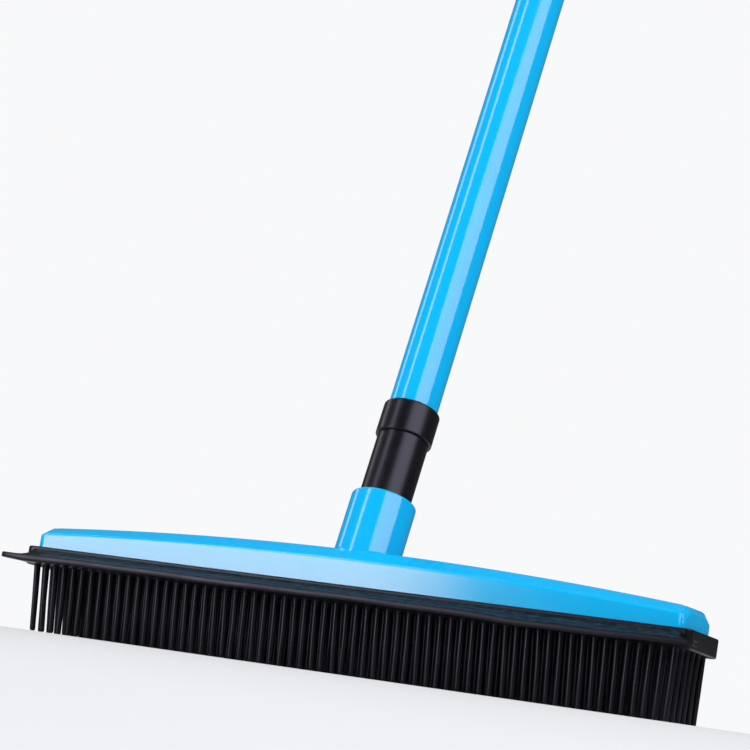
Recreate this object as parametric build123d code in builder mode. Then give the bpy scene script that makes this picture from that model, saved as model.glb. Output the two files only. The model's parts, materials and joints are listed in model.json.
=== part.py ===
"""Rubber push broom with a squeegee edge and a telescopic handle.

Units are millimetres.  X runs along the head, +Z is up and the handle leans
towards +Y; the squeegee edge points towards -Y.  The origin is the tip of the
middle bristle of the third row, and every bristle tip lies at Z = 0.
"""
import math
import os

from build123d import *

os.makedirs("parts", exist_ok=True)

# ---- fits between neighbouring pieces ------------------------------------
RUN_GAP = 0.08          # radial running clearance of turning and sliding pieces
SEAT_GAP = 0.3          # air left between faces that part when a joint moves
LOOSE_GAP = 0.4         # free space round pieces that only pass through

# ---- bristles and the moulded rubber --------------------------------------
BRISTLE_PITCH = 4.9     # spacing along a row
BRISTLE_COUNT = 63      # bristles in a row
BRISTLE_LENGTH = 30.2
ROW_COUNT = 6
ROW_PITCH = 6.72
BRISTLE_ROOT_R = 1.45
BRISTLE_TIP_R = 1.25
SHEET_THICKNESS = 3.2   # rubber sheet the bristles grow from
LIP_DROP = 0.9          # how far the rim hangs below the sheet
RIM_RISE = 4.2          # how far the rim stands above the sheet
RIM_OVERHANG_X = 4.0    # how far the rubber rim stands out past the housing
RIM_OVERHANG_Y = 1.6
LIP_REACH = 4.0         # how far the rubber lip folds over the clamp plate

BLADE_REACH = 11.0      # squeegee edge in front of the rim
BLADE_OVERHANG = 5.2    # squeegee edge past each end of the rim
BLADE_ROOT_LOW, BLADE_ROOT_HIGH = 0.3, 4.1   # heights above the foot of the rim
BLADE_TIP_LOW, BLADE_TIP_HIGH = 0.5, 3.1
BLADE_FOOT = 1.3        # small gusset where the wedge meets the rim

# ---- plastic housing ------------------------------------------------------
HOUSING_LENGTH = 308.0
HOUSING_DEPTH = 34.0
CROWN_MID = 16.1        # height of the crown above the rim in the middle
CROWN_END = 9.6         # and at the ends
BEVEL_IN, BEVEL_DOWN = 8.0, 4.2
WALL = 2.4
RIB = 1.8
RIB_X = (-128.0, -96.0, -64.0, -32.0, 32.0, 64.0, 96.0, 128.0)
BOSS_R = 4.2
BOSS_X = (-112.0, -48.0, 48.0, 112.0)

PLATE_THICKNESS = 2.0
SCREW_HEAD_R, SCREW_HEAD_H = 3.4, 2.2
SCREW_SHANK_R, SCREW_LENGTH = 1.7, 11.0
PILOT_GAP = 0.05
HEAD_ROOM = 0.2         # air round a screw head in its rubber pocket

# ---- handle ---------------------------------------------------------------
LEAN = 17.0             # handle lean from the upright, in degrees
HANDLE_SHIFT, HANDLE_RISE = 0.6, 3.7   # start of the handle axis: behind middle, above rim
SOCKET_WALL = 1.9       # wall of the socket round the seal
SOCKET_FOOT, SOCKET_TOP = 2.0, 38.6
SOCKET_FLOOR = 5.0
SOCKET_BORE_R = 10.2
SOCKET_ROUND = 0.9      # rounding of the socket's top edge
SEAL_DEPTH, SEAL_REACH = 3.0, 1.1    # the seal stands out past the stem by its reach
STEM_STEP = 0.5         # how much thicker the stem is than the tube
STEM_BORE_R = 6.5
STEM_THREAD_FOOT = 8.0
COLLAR_WALL = 1.7
COLLAR_FOOT, COLLAR_TOP = 68.4, 83.7
TUBE_R, TUBE_WALL = 11.0, 0.9
LOWER_TUBE_FOOT, LOWER_TUBE_TOP = 72.0, 600.0
PLUG_TOP = 112.0
PIN_S, PIN_R = 78.0, 1.6   # the pin hides under the collar
PIN_SHORT = 0.3         # how far each pin end stays inside the tube surface
LOCK_SLEEVE = 26.0      # length of the lock body below the tube end
LOCK_NECK = 24.0        # threaded neck above the tube end
LOCK_NECK_STEP = 0.6    # how much thicker the neck is than the tube
LOCK_SLEEVE_WALL = 1.6
NUT_WALL, NUT_LENGTH = 2.4, 42.0
NUT_RIBS = 24
UPPER_TUBE_R, UPPER_TUBE_WALL = 9.0, 0.8
FOOT_GAP = 20.0         # upper tube's foot above the stem's plug, pushed right in
GRIP_GAP = 68.4         # free tube between the nut and the grip, pushed right in
GRIP_LENGTH, GRIP_WALL = 110.0, 4.0
TUBE_PAST = 8.0         # how far the upper tube runs into the end cap
CAP_LENGTH = 26.0
HANG_R = 4.0

# ---- sizes worked out from the ones above ---------------------------------
head_y = ROW_PITCH / 2  # middle of the head in Y
pad_bottom = BRISTLE_LENGTH
pad_top = pad_bottom + SHEET_THICKNESS
rim_bottom = pad_bottom - LIP_DROP
rim_top = pad_top + RIM_RISE
housing_mid = rim_top + CROWN_MID
housing_end = rim_top + CROWN_END
handle_z = rim_top + HANDLE_RISE
stem_r = TUBE_R + STEM_STEP
seal_r = stem_r + SEAL_REACH
socket_r = seal_r + SOCKET_WALL
collar_r = TUBE_R + COLLAR_WALL
sleeve_r = TUBE_R + LOCK_SLEEVE_WALL
lock_neck_r = TUBE_R + LOCK_NECK_STEP
nut_r = lock_neck_r + NUT_WALL
grip_r = UPPER_TUBE_R + GRIP_WALL
rim_length = HOUSING_LENGTH + 2 * RIM_OVERHANG_X
rim_depth = HOUSING_DEPTH + 2 * RIM_OVERHANG_Y
plate_top = pad_top + PLATE_THICKNESS
window_length = HOUSING_LENGTH - 2 * (WALL + 1.0)
window_depth = HOUSING_DEPTH - 2 * (WALL + 1.0)
plate_length = window_length + 2 * LIP_REACH
plate_depth = window_depth + 2 * LIP_REACH
cavity_length = HOUSING_LENGTH - 2 * WALL
cavity_depth = HOUSING_DEPTH - 2 * WALL
lean_rad = math.radians(LEAN)
handle = Plane(
    origin=(0, head_y + HANDLE_SHIFT, handle_z), x_dir=(1, 0, 0),
    z_dir=(0, math.sin(lean_rad), math.cos(lean_rad)),
)
long_section = Plane(origin=(0, head_y, 0), x_dir=(1, 0, 0), z_dir=(0, -1, 0))
tube_bore_r = TUBE_R - TUBE_WALL
lock_foot = LOWER_TUBE_TOP - LOCK_SLEEVE
neck_top = LOWER_TUBE_TOP + LOCK_NECK
nut_foot = LOWER_TUBE_TOP + 1.6
upper_foot = PLUG_TOP + FOOT_GAP
grip_foot = nut_foot + NUT_LENGTH + GRIP_GAP
grip_top = grip_foot + GRIP_LENGTH
upper_top = grip_top + TUBE_PAST
cap_top = grip_top + CAP_LENGTH


def keep(part, name):
    """Label a finished piece and write it out."""
    part.label = name
    export_step(part, f"parts/{name}.step")


def level(z):
    """Horizontal work plane at height z, centred on the head."""
    return Plane(origin=(0, head_y, z))


def across(s):
    """Centre, in the YZ plane, of a cross hole at distance s along the handle."""
    return tuple(handle.from_local_coords((0, 0, s)))[1:]


def rim_edges(piece, radius):
    """Circular edges of a piece that have the given radius."""
    circles = piece.edges().filter_by(GeomType.CIRCLE)
    return circles.filter_by(lambda e: abs(e.radius - radius) < 0.01)


def crown_height(x):
    """Height of the housing crown at a distance x from the middle."""
    return housing_mid - (housing_mid - housing_end) * (2 * x / HOUSING_LENGTH) ** 2


def crown_block(length, depth, bottom, mid, end, bevel_in, bevel_down, corner, end_round):
    """Long block with a crowned top, bevelled long edges and rounded ends."""
    half = length / 2
    with BuildPart() as block:
        with BuildSketch(long_section):
            with BuildLine():
                Line((-half, bottom), (half, bottom))
                Line((half, bottom), (half, end))
                ThreePointArc((half, end), (0, mid), (-half, end))
                Line((-half, end), (-half, bottom))
            make_face()
        extrude(amount=depth / 2, both=True)
        crown = block.faces().sort_by(Axis.Z)[-1]
        long_edges = crown.edges().sort_by(SortBy.LENGTH)[-2:]
        chamfer(long_edges, length=bevel_in, length2=bevel_down, reference=crown)
        with BuildSketch(level(bottom)):
            RectangleRounded(length, depth, corner)
        extrude(amount=mid - bottom + 5, mode=Mode.INTERSECT)
        with BuildSketch(long_section) as side:
            with Locations((0, bottom + (mid + 10 - bottom) / 2 - 10)):
                Rectangle(length, mid + 10 - bottom)
            fillet(side.vertices().group_by(Axis.Y)[-1], radius=end_round)
        extrude(amount=depth / 2, both=True, mode=Mode.INTERSECT)
    return block.part


def tube_piece(radius, bore, foot, top):
    """Plain tube along the handle axis."""
    with BuildPart() as piece:
        with BuildSketch(handle.offset(foot)):
            Circle(radius)
            Circle(bore, mode=Mode.SUBTRACT)
        extrude(amount=top - foot)
    return piece.part


# ---- housing: crowned shell with the handle socket -------------------------
outer = crown_block(
    HOUSING_LENGTH, HOUSING_DEPTH, rim_top, housing_mid, housing_end,
    BEVEL_IN, BEVEL_DOWN, 3.2, 4.0,
)
core = crown_block(
    cavity_length, cavity_depth, rim_top - 1, housing_mid - WALL, housing_end - WALL,
    BEVEL_IN - 1, BEVEL_DOWN, 1.6, 3.0,
)

with BuildPart() as ribs:
    with BuildSketch(level(rim_top + 2)):
        for x in RIB_X:
            with Locations((x, 0)):
                Rectangle(RIB, cavity_depth)
    extrude(amount=housing_mid - rim_top - 2)
    add(core, mode=Mode.INTERSECT)

with BuildPart() as bosses:
    for x in BOSS_X:
        with BuildSketch(level(plate_top)):
            with Locations((x, 0)):
                Circle(BOSS_R)
        extrude(amount=crown_height(x) - WALL / 2 - plate_top)

with BuildPart() as head_housing:
    add(outer)
    add(core, mode=Mode.SUBTRACT)
    add(ribs.part)
    add(bosses.part)
    with BuildSketch(handle.offset(SOCKET_FOOT)):
        Circle(socket_r)
    extrude(amount=SOCKET_TOP - SOCKET_FOOT, mode=Mode.SUBTRACT)
    with BuildSketch(level(plate_top - 1)):
        for x in BOSS_X:
            with Locations((x, 0)):
                Circle(SCREW_SHANK_R + PILOT_GAP)
    extrude(amount=SCREW_LENGTH, mode=Mode.SUBTRACT)
keep(head_housing.part, "head_housing")

# ---- socket: stands through the crown, moulded in one with the housing --------
with BuildPart() as handle_socket:
    with BuildSketch(handle.offset(SOCKET_FOOT)):
        Circle(socket_r)
    extrude(amount=SOCKET_TOP - SOCKET_FOOT)
    fillet(handle_socket.faces().sort_by(Axis.Z)[-1].edges(), radius=SOCKET_ROUND)
    with BuildSketch(handle.offset(SOCKET_FLOOR)):
        Circle(SOCKET_BORE_R)
    extrude(amount=SOCKET_TOP - SOCKET_FLOOR + 1, mode=Mode.SUBTRACT)
    with BuildSketch(handle.offset(SOCKET_TOP - SEAL_DEPTH)):
        Circle(seal_r)
    extrude(amount=SEAL_DEPTH + 1, mode=Mode.SUBTRACT)
keep(handle_socket.part, "handle_socket")

# ---- rubber: bristles, sheet and rim in one moulding ------------------------
with BuildPart() as rubber_brush:
    with BuildSketch(level(rim_bottom)):
        RectangleRounded(rim_length, rim_depth, 4.5)
    extrude(amount=rim_top - rim_bottom)
    # hollow below the sheet, pocket for the clamp plate, window for the bosses
    with BuildSketch(level(rim_bottom)):
        RectangleRounded(rim_length - 5, rim_depth - 1.6, 3.5)
    extrude(amount=pad_bottom - rim_bottom, mode=Mode.SUBTRACT)
    with BuildSketch(level(pad_top)):
        RectangleRounded(plate_length, plate_depth, 3.0)
    extrude(amount=PLATE_THICKNESS, mode=Mode.SUBTRACT)
    with BuildSketch(level(plate_top)):
        RectangleRounded(window_length, window_depth, 3.0)
    extrude(amount=rim_top - plate_top, mode=Mode.SUBTRACT)
    # blind pockets in the top of the sheet for the screw heads
    with BuildSketch(level(pad_top - SCREW_HEAD_H - HEAD_ROOM)):
        for x in BOSS_X:
            with Locations((x, 0)):
                Circle(SCREW_HEAD_R + HEAD_ROOM)
    extrude(amount=SCREW_HEAD_H + HEAD_ROOM, mode=Mode.SUBTRACT)
    # bristles in straight rows and columns
    bristle = Solid.make_cone(BRISTLE_TIP_R, BRISTLE_ROOT_R, pad_bottom + 0.2)
    spots = [
        ((i - (BRISTLE_COUNT - 1) / 2) * BRISTLE_PITCH, head_y + (row - (ROW_COUNT - 1) / 2) * ROW_PITCH)
        for row in range(ROW_COUNT) for i in range(BRISTLE_COUNT)
    ]
    with Locations([(x, y, 0) for x, y in spots]):
        add(bristle)
keep(rubber_brush.part, "rubber_brush")

# ---- squeegee edge: a wedge along the front of the rim that runs past both ends
blade_half = rim_length / 2 + BLADE_OVERHANG
rim_front = head_y - rim_depth / 2
with BuildPart() as squeegee_blade:
    with BuildSketch(Plane.YZ.offset(-blade_half)):
        Polygon(
            (rim_front, rim_bottom + BLADE_ROOT_LOW),
            (rim_front, rim_bottom + BLADE_ROOT_HIGH + BLADE_FOOT),
            (rim_front - BLADE_FOOT, rim_bottom + BLADE_ROOT_HIGH),
            (rim_front - BLADE_REACH, rim_bottom + BLADE_TIP_HIGH),
            (rim_front - BLADE_REACH, rim_bottom + BLADE_TIP_LOW),
            align=None,
        )
    extrude(amount=2 * blade_half)
keep(squeegee_blade.part, "squeegee_blade")

with BuildPart() as clamp_plate:
    with BuildSketch(level(pad_top)):
        RectangleRounded(plate_length, plate_depth, 3.0)
        for x in BOSS_X:
            with Locations((x, 0)):
                Circle(SCREW_SHANK_R + LOOSE_GAP / 2, mode=Mode.SUBTRACT)
    extrude(amount=PLATE_THICKNESS)
keep(clamp_plate.part, "clamp_plate")

with BuildPart() as head_screws:
    for x in BOSS_X:
        with BuildSketch(level(pad_top)):
            with Locations((x, 0)):
                Circle(SCREW_SHANK_R)
        extrude(amount=SCREW_LENGTH)
        with BuildSketch(level(pad_top - SCREW_HEAD_H)):
            with Locations((x, 0)):
                Circle(SCREW_HEAD_R)
        extrude(amount=SCREW_HEAD_H)
    with BuildSketch(level(pad_top - SCREW_HEAD_H)):
        for x in BOSS_X:
            with Locations((x, 0)):
                Rectangle(4.2, 0.9)
                Rectangle(0.9, 4.2)
    extrude(amount=1.2, mode=Mode.SUBTRACT)
keep(head_screws.part, "head_screws")

# ---- seal ring between socket and stem --------------------------------------
with BuildPart() as seal_ring:
    with BuildSketch(handle.offset(SOCKET_TOP - SEAL_DEPTH + SEAT_GAP)):
        Circle(seal_r - RUN_GAP)
        Circle(SOCKET_BORE_R, mode=Mode.SUBTRACT)
    extrude(amount=SEAL_DEPTH - 2 * SEAT_GAP - 0.4)
keep(seal_ring.part, "seal_ring")

# ---- screw-in stem ------------------------------------------------------------
thread_r = SOCKET_BORE_R - RUN_GAP
with BuildPart() as handle_stem:
    with BuildSketch(handle.offset(STEM_THREAD_FOOT)):
        Circle(thread_r)
    extrude(amount=SOCKET_TOP - STEM_THREAD_FOOT)
    with BuildSketch(handle.offset(SOCKET_TOP - 0.4)):
        Circle(stem_r)
    extrude(amount=LOWER_TUBE_FOOT - SOCKET_TOP + 0.4)
    with BuildSketch(handle.offset(LOWER_TUBE_FOOT)):
        Circle(tube_bore_r)
    extrude(amount=PLUG_TOP - LOWER_TUBE_FOOT)
    with BuildSketch(handle.offset(STEM_THREAD_FOOT)):
        Circle(STEM_BORE_R)
    extrude(amount=PLUG_TOP - STEM_THREAD_FOOT, mode=Mode.SUBTRACT)
    with BuildSketch(Plane.YZ):
        with Locations(across(PIN_S)):
            Circle(PIN_R)
    extrude(amount=TUBE_R + 2, both=True, mode=Mode.SUBTRACT)
keep(handle_stem.part, "handle_stem")

with BuildPart() as stem_collar:
    with BuildSketch(handle.offset(COLLAR_FOOT)):
        Circle(collar_r)
        Circle(stem_r, mode=Mode.SUBTRACT)
    extrude(amount=LOWER_TUBE_FOOT - COLLAR_FOOT)
    with BuildSketch(handle.offset(LOWER_TUBE_FOOT)):
        Circle(collar_r)
        Circle(TUBE_R, mode=Mode.SUBTRACT)
    extrude(amount=COLLAR_TOP - LOWER_TUBE_FOOT)
    fillet(rim_edges(stem_collar, collar_r).sort_by(Axis.Z)[0], radius=0.8)
    fillet(rim_edges(stem_collar, collar_r).sort_by(Axis.Z)[-1], radius=0.8)
keep(stem_collar.part, "stem_collar")

# ---- lower tube and its cross pin -----------------------------------------------
with BuildPart() as lower_tube:
    add(tube_piece(TUBE_R, tube_bore_r, LOWER_TUBE_FOOT, LOWER_TUBE_TOP))
    with BuildSketch(Plane.YZ):
        with Locations(across(PIN_S)):
            Circle(PIN_R)
    extrude(amount=TUBE_R + 2, both=True, mode=Mode.SUBTRACT)
keep(lower_tube.part, "lower_tube")

with BuildPart() as cross_pin:
    with BuildSketch(Plane.YZ):
        with Locations(across(PIN_S)):
            Circle(PIN_R)
    extrude(amount=TUBE_R - PIN_SHORT, both=True)
keep(cross_pin.part, "cross_pin")

# ---- twist lock -------------------------------------------------------------------
upper_bore = UPPER_TUBE_R + RUN_GAP
with BuildPart() as lock_body:
    with BuildSketch(handle.offset(lock_foot)):
        Circle(sleeve_r)
        Circle(TUBE_R, mode=Mode.SUBTRACT)
    extrude(amount=LOCK_SLEEVE)
    with BuildSketch(handle.offset(LOWER_TUBE_TOP)):
        Circle(sleeve_r)
        Circle(upper_bore, mode=Mode.SUBTRACT)
    extrude(amount=1.2)
    with BuildSketch(handle.offset(LOWER_TUBE_TOP)):
        Circle(lock_neck_r)
        Circle(upper_bore, mode=Mode.SUBTRACT)
    extrude(amount=LOCK_NECK)
keep(lock_body.part, "lock_body")

with BuildPart() as lock_nut:
    with BuildSketch(handle.offset(nut_foot)):
        Circle(nut_r)
        Circle(lock_neck_r + RUN_GAP, mode=Mode.SUBTRACT)
    extrude(amount=neck_top + 8 - nut_foot)
    with BuildSketch(handle.offset(neck_top + 8)):
        Circle(nut_r)
    extrude(amount=NUT_LENGTH - (neck_top + 8 - nut_foot), taper=8)
    with BuildSketch(handle.offset(nut_foot)):
        Circle(UPPER_TUBE_R + LOOSE_GAP)
    extrude(amount=NUT_LENGTH + 1, mode=Mode.SUBTRACT)
    with BuildSketch(handle.offset(nut_foot + 3)):
        with PolarLocations(nut_r + 0.5, NUT_RIBS):
            Circle(1.1)
    extrude(amount=neck_top + 2 - nut_foot, mode=Mode.SUBTRACT)
keep(lock_nut.part, "lock_nut")

with BuildPart() as lock_collet:
    with BuildSketch(handle.offset(neck_top + 0.2)):
        Circle(lock_neck_r - 0.4)
        Circle(upper_bore, mode=Mode.SUBTRACT)
        with Locations((lock_neck_r - 1, 0)):
            Rectangle(8, 1.6, mode=Mode.SUBTRACT)
    extrude(amount=7.4)
keep(lock_collet.part, "lock_collet")

# ---- sliding upper tube with grip -------------------------------------------------
keep(tube_piece(UPPER_TUBE_R, UPPER_TUBE_R - UPPER_TUBE_WALL, upper_foot, upper_top),
     "upper_tube")

with BuildPart() as guide_plug:
    with BuildSketch(handle.offset(upper_foot - 5)):
        Circle(tube_bore_r - RUN_GAP)
    extrude(amount=5)
    with BuildSketch(handle.offset(upper_foot)):
        Circle(UPPER_TUBE_R - UPPER_TUBE_WALL)
    extrude(amount=20)
    with BuildSketch(handle.offset(upper_foot - 5)):
        Circle(5.0)
    extrude(amount=25, mode=Mode.SUBTRACT)
keep(guide_plug.part, "guide_plug")

with BuildPart() as grip:
    with BuildSketch(handle.offset(grip_foot)):
        Circle(grip_r)
        Circle(UPPER_TUBE_R, mode=Mode.SUBTRACT)
    extrude(amount=grip_top - grip_foot)
    fillet(rim_edges(grip, grip_r), radius=1.5)
keep(grip.part, "grip")

with BuildPart() as end_cap:
    with BuildSketch(handle.offset(grip_top)):
        Circle(grip_r)
    extrude(amount=cap_top - grip_top)
    fillet(end_cap.faces().sort_by(Axis.Z)[-1].edges(), radius=6.0)
    with BuildSketch(handle.offset(grip_top)):
        Circle(UPPER_TUBE_R)
    extrude(amount=upper_top - grip_top, mode=Mode.SUBTRACT)
    with BuildSketch(Plane.YZ):
        with Locations(across(cap_top - 9)):
            Circle(HANG_R)
    extrude(amount=grip_r + 2, both=True, mode=Mode.SUBTRACT)
keep(end_cap.part, "end_cap")
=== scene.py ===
"""Rubber push broom with a squeegee edge and a telescopic handle.

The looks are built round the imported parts, which stay where they are.  Shapes are
drawn in millimetres: head pieces in the head's own frame, whose Y = 0 is the middle
of the head, and handle pieces along the handle axis, whose foot is inside the head.
"""

import json
import logging
import math
import random
from dataclasses import dataclass
from enum import Enum
from typing import Callable, Iterable, Sequence

import bmesh
import bpy
from mathutils import Matrix, Vector


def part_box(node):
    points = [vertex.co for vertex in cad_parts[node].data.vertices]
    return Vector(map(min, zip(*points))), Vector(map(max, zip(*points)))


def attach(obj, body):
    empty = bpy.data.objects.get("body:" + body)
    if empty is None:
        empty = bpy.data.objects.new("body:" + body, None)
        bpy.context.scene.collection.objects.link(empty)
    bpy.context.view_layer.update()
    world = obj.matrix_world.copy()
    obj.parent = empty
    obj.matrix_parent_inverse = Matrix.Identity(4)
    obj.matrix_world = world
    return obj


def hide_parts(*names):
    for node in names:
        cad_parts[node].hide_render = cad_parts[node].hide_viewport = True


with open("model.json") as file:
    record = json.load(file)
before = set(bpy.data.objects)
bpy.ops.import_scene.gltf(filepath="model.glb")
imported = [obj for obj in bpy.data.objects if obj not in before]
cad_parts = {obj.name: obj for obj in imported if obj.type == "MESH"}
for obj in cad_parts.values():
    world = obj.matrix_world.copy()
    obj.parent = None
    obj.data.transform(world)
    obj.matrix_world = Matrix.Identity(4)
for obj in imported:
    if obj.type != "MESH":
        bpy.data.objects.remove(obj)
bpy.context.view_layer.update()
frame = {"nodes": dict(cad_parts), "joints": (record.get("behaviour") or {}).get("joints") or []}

LOG = logging.getLogger("broom")
MM = 0.001
Colour = tuple[float, float, float]
Profile = Sequence[tuple[float, float]]


class Slot(Enum):
    """Material slots of the record."""

    BLUE_PLASTIC = "blue_plastic"
    BLUE_PAINT = "blue_paint"
    BLACK_RUBBER = "black_rubber"
    BLACK_PLASTIC = "black_plastic"
    GREY_PLASTIC = "grey_plastic"
    WHITE_NYLON = "white_nylon"
    ZINC_STEEL = "zinc_steel"


class Effect(Enum):
    """Surface effects that several finishes share."""

    GRAIN = "moulded_grain"
    MOTTLE = "colour_mottle"
    SCUFFS = "handling_scuffs"
    DUST = "settled_dust"


# ---------------------------------------------------------------- finishes


class EffectLibrary:
    """Node groups for the shared surface effects, each built once."""

    def __init__(self) -> None:
        """Starts with no group built."""
        self._built: dict[Effect, bpy.types.NodeTree] = {}

    def get(self, effect: Effect) -> bpy.types.NodeTree:
        """Gives the node group of an effect.

        Args:
            effect: the effect wanted.

        Returns:
            The group, built on its first use.
        """
        if effect not in self._built:
            makers: dict[Effect, Callable[[], bpy.types.NodeTree]] = {
                Effect.GRAIN: self._grain,
                Effect.MOTTLE: self._mottle,
                Effect.SCUFFS: self._scuffs,
                Effect.DUST: self._dust,
            }
            self._built[effect] = makers[effect]()
        return self._built[effect]

    @staticmethod
    def _start(name: str, inputs: Sequence[tuple[str, float]], output: str) -> tuple:
        """Makes an empty group with float inputs and one float output.

        Args:
            name: the group's name.
            inputs: names and default values of its inputs.
            output: the name of its output.

        Returns:
            The group, its input node, its output node and an Object coordinate node.
        """
        tree = bpy.data.node_groups.new(name, "ShaderNodeTree")
        for label, value in inputs:
            socket = tree.interface.new_socket(label, in_out="INPUT", socket_type="NodeSocketFloat")
            socket.default_value = value
        tree.interface.new_socket(output, in_out="OUTPUT", socket_type="NodeSocketFloat")
        source = tree.nodes.new("NodeGroupInput")
        sink = tree.nodes.new("NodeGroupOutput")
        place = tree.nodes.new("ShaderNodeTexCoord")
        return tree, source, sink, place

    def _grain(self) -> bpy.types.NodeTree:
        """Fine two-layer texture of a moulded or sprayed skin."""
        tree, source, sink, place = self._start("moulded_grain", [("Scale", 900.0)], "Height")
        fine = tree.nodes.new("ShaderNodeTexNoise")
        fine.inputs["Detail"].default_value = 5.0
        fine.inputs["Roughness"].default_value = 0.62
        cells = tree.nodes.new("ShaderNodeTexVoronoi")
        cells.feature = "SMOOTH_F1"
        blend = tree.nodes.new("ShaderNodeMix")
        blend.inputs["Factor"].default_value = 0.35
        tree.links.new(place.outputs["Object"], fine.inputs["Vector"])
        tree.links.new(place.outputs["Object"], cells.inputs["Vector"])
        tree.links.new(source.outputs["Scale"], fine.inputs["Scale"])
        tree.links.new(source.outputs["Scale"], cells.inputs["Scale"])
        tree.links.new(fine.outputs["Fac"], blend.inputs["A"])
        tree.links.new(cells.outputs["Distance"], blend.inputs["B"])
        tree.links.new(blend.outputs["Result"], sink.inputs["Height"])
        return tree

    def _mottle(self) -> bpy.types.NodeTree:
        """Slow, soft clouding of a colour."""
        tree, source, sink, place = self._start("colour_mottle", [("Scale", 30.0)], "Mask")
        cloud = tree.nodes.new("ShaderNodeTexNoise")
        cloud.inputs["Detail"].default_value = 3.0
        spread = tree.nodes.new("ShaderNodeMapRange")
        spread.inputs["From Min"].default_value = 0.32
        spread.inputs["From Max"].default_value = 0.68
        tree.links.new(place.outputs["Object"], cloud.inputs["Vector"])
        tree.links.new(source.outputs["Scale"], cloud.inputs["Scale"])
        tree.links.new(cloud.outputs["Fac"], spread.inputs["Value"])
        tree.links.new(spread.outputs["Result"], sink.inputs["Mask"])
        return tree

    def _scuffs(self) -> bpy.types.NodeTree:
        """Sparse drawn-out marks from handling."""
        tree, source, sink, place = self._start(
            "handling_scuffs", [("Scale", 60.0), ("Amount", 0.5)], "Mask")
        turn = tree.nodes.new("ShaderNodeMapping")
        turn.inputs["Rotation"].default_value = (0.3, 0.5, 0.9)
        turn.inputs["Scale"].default_value = (1.0, 9.0, 2.0)
        marks = tree.nodes.new("ShaderNodeTexNoise")
        marks.inputs["Detail"].default_value = 6.0
        marks.inputs["Distortion"].default_value = 0.6
        pick = tree.nodes.new("ShaderNodeMapRange")
        pick.inputs["From Min"].default_value = 0.60
        pick.inputs["From Max"].default_value = 0.78
        weigh = tree.nodes.new("ShaderNodeMath")
        weigh.operation = "MULTIPLY"
        tree.links.new(place.outputs["Object"], turn.inputs["Vector"])
        tree.links.new(turn.outputs["Vector"], marks.inputs["Vector"])
        tree.links.new(source.outputs["Scale"], marks.inputs["Scale"])
        tree.links.new(marks.outputs["Fac"], pick.inputs["Value"])
        tree.links.new(pick.outputs["Result"], weigh.inputs[0])
        tree.links.new(source.outputs["Amount"], weigh.inputs[1])
        tree.links.new(weigh.outputs["Value"], sink.inputs["Mask"])
        return tree

    def _dust(self) -> bpy.types.NodeTree:
        """Thin dust on faces that look up."""
        tree, source, sink, place = self._start(
            "settled_dust", [("Scale", 400.0), ("Amount", 0.2)], "Mask")
        facing = tree.nodes.new("ShaderNodeNewGeometry")
        split = tree.nodes.new("ShaderNodeSeparateXYZ")
        upward = tree.nodes.new("ShaderNodeMapRange")
        upward.inputs["From Min"].default_value = 0.15
        upward.inputs["From Max"].default_value = 1.0
        specks = tree.nodes.new("ShaderNodeTexNoise")
        specks.inputs["Detail"].default_value = 8.0
        pick = tree.nodes.new("ShaderNodeMapRange")
        pick.inputs["From Min"].default_value = 0.45
        pick.inputs["From Max"].default_value = 0.75
        both = tree.nodes.new("ShaderNodeMath")
        both.operation = "MULTIPLY"
        weigh = tree.nodes.new("ShaderNodeMath")
        weigh.operation = "MULTIPLY"
        tree.links.new(facing.outputs["Normal"], split.inputs["Vector"])
        tree.links.new(split.outputs["Z"], upward.inputs["Value"])
        tree.links.new(place.outputs["Object"], specks.inputs["Vector"])
        tree.links.new(source.outputs["Scale"], specks.inputs["Scale"])
        tree.links.new(specks.outputs["Fac"], pick.inputs["Value"])
        tree.links.new(upward.outputs["Result"], both.inputs[0])
        tree.links.new(pick.outputs["Result"], both.inputs[1])
        tree.links.new(both.outputs["Value"], weigh.inputs[0])
        tree.links.new(source.outputs["Amount"], weigh.inputs[1])
        tree.links.new(weigh.outputs["Value"], sink.inputs["Mask"])
        return tree


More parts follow.
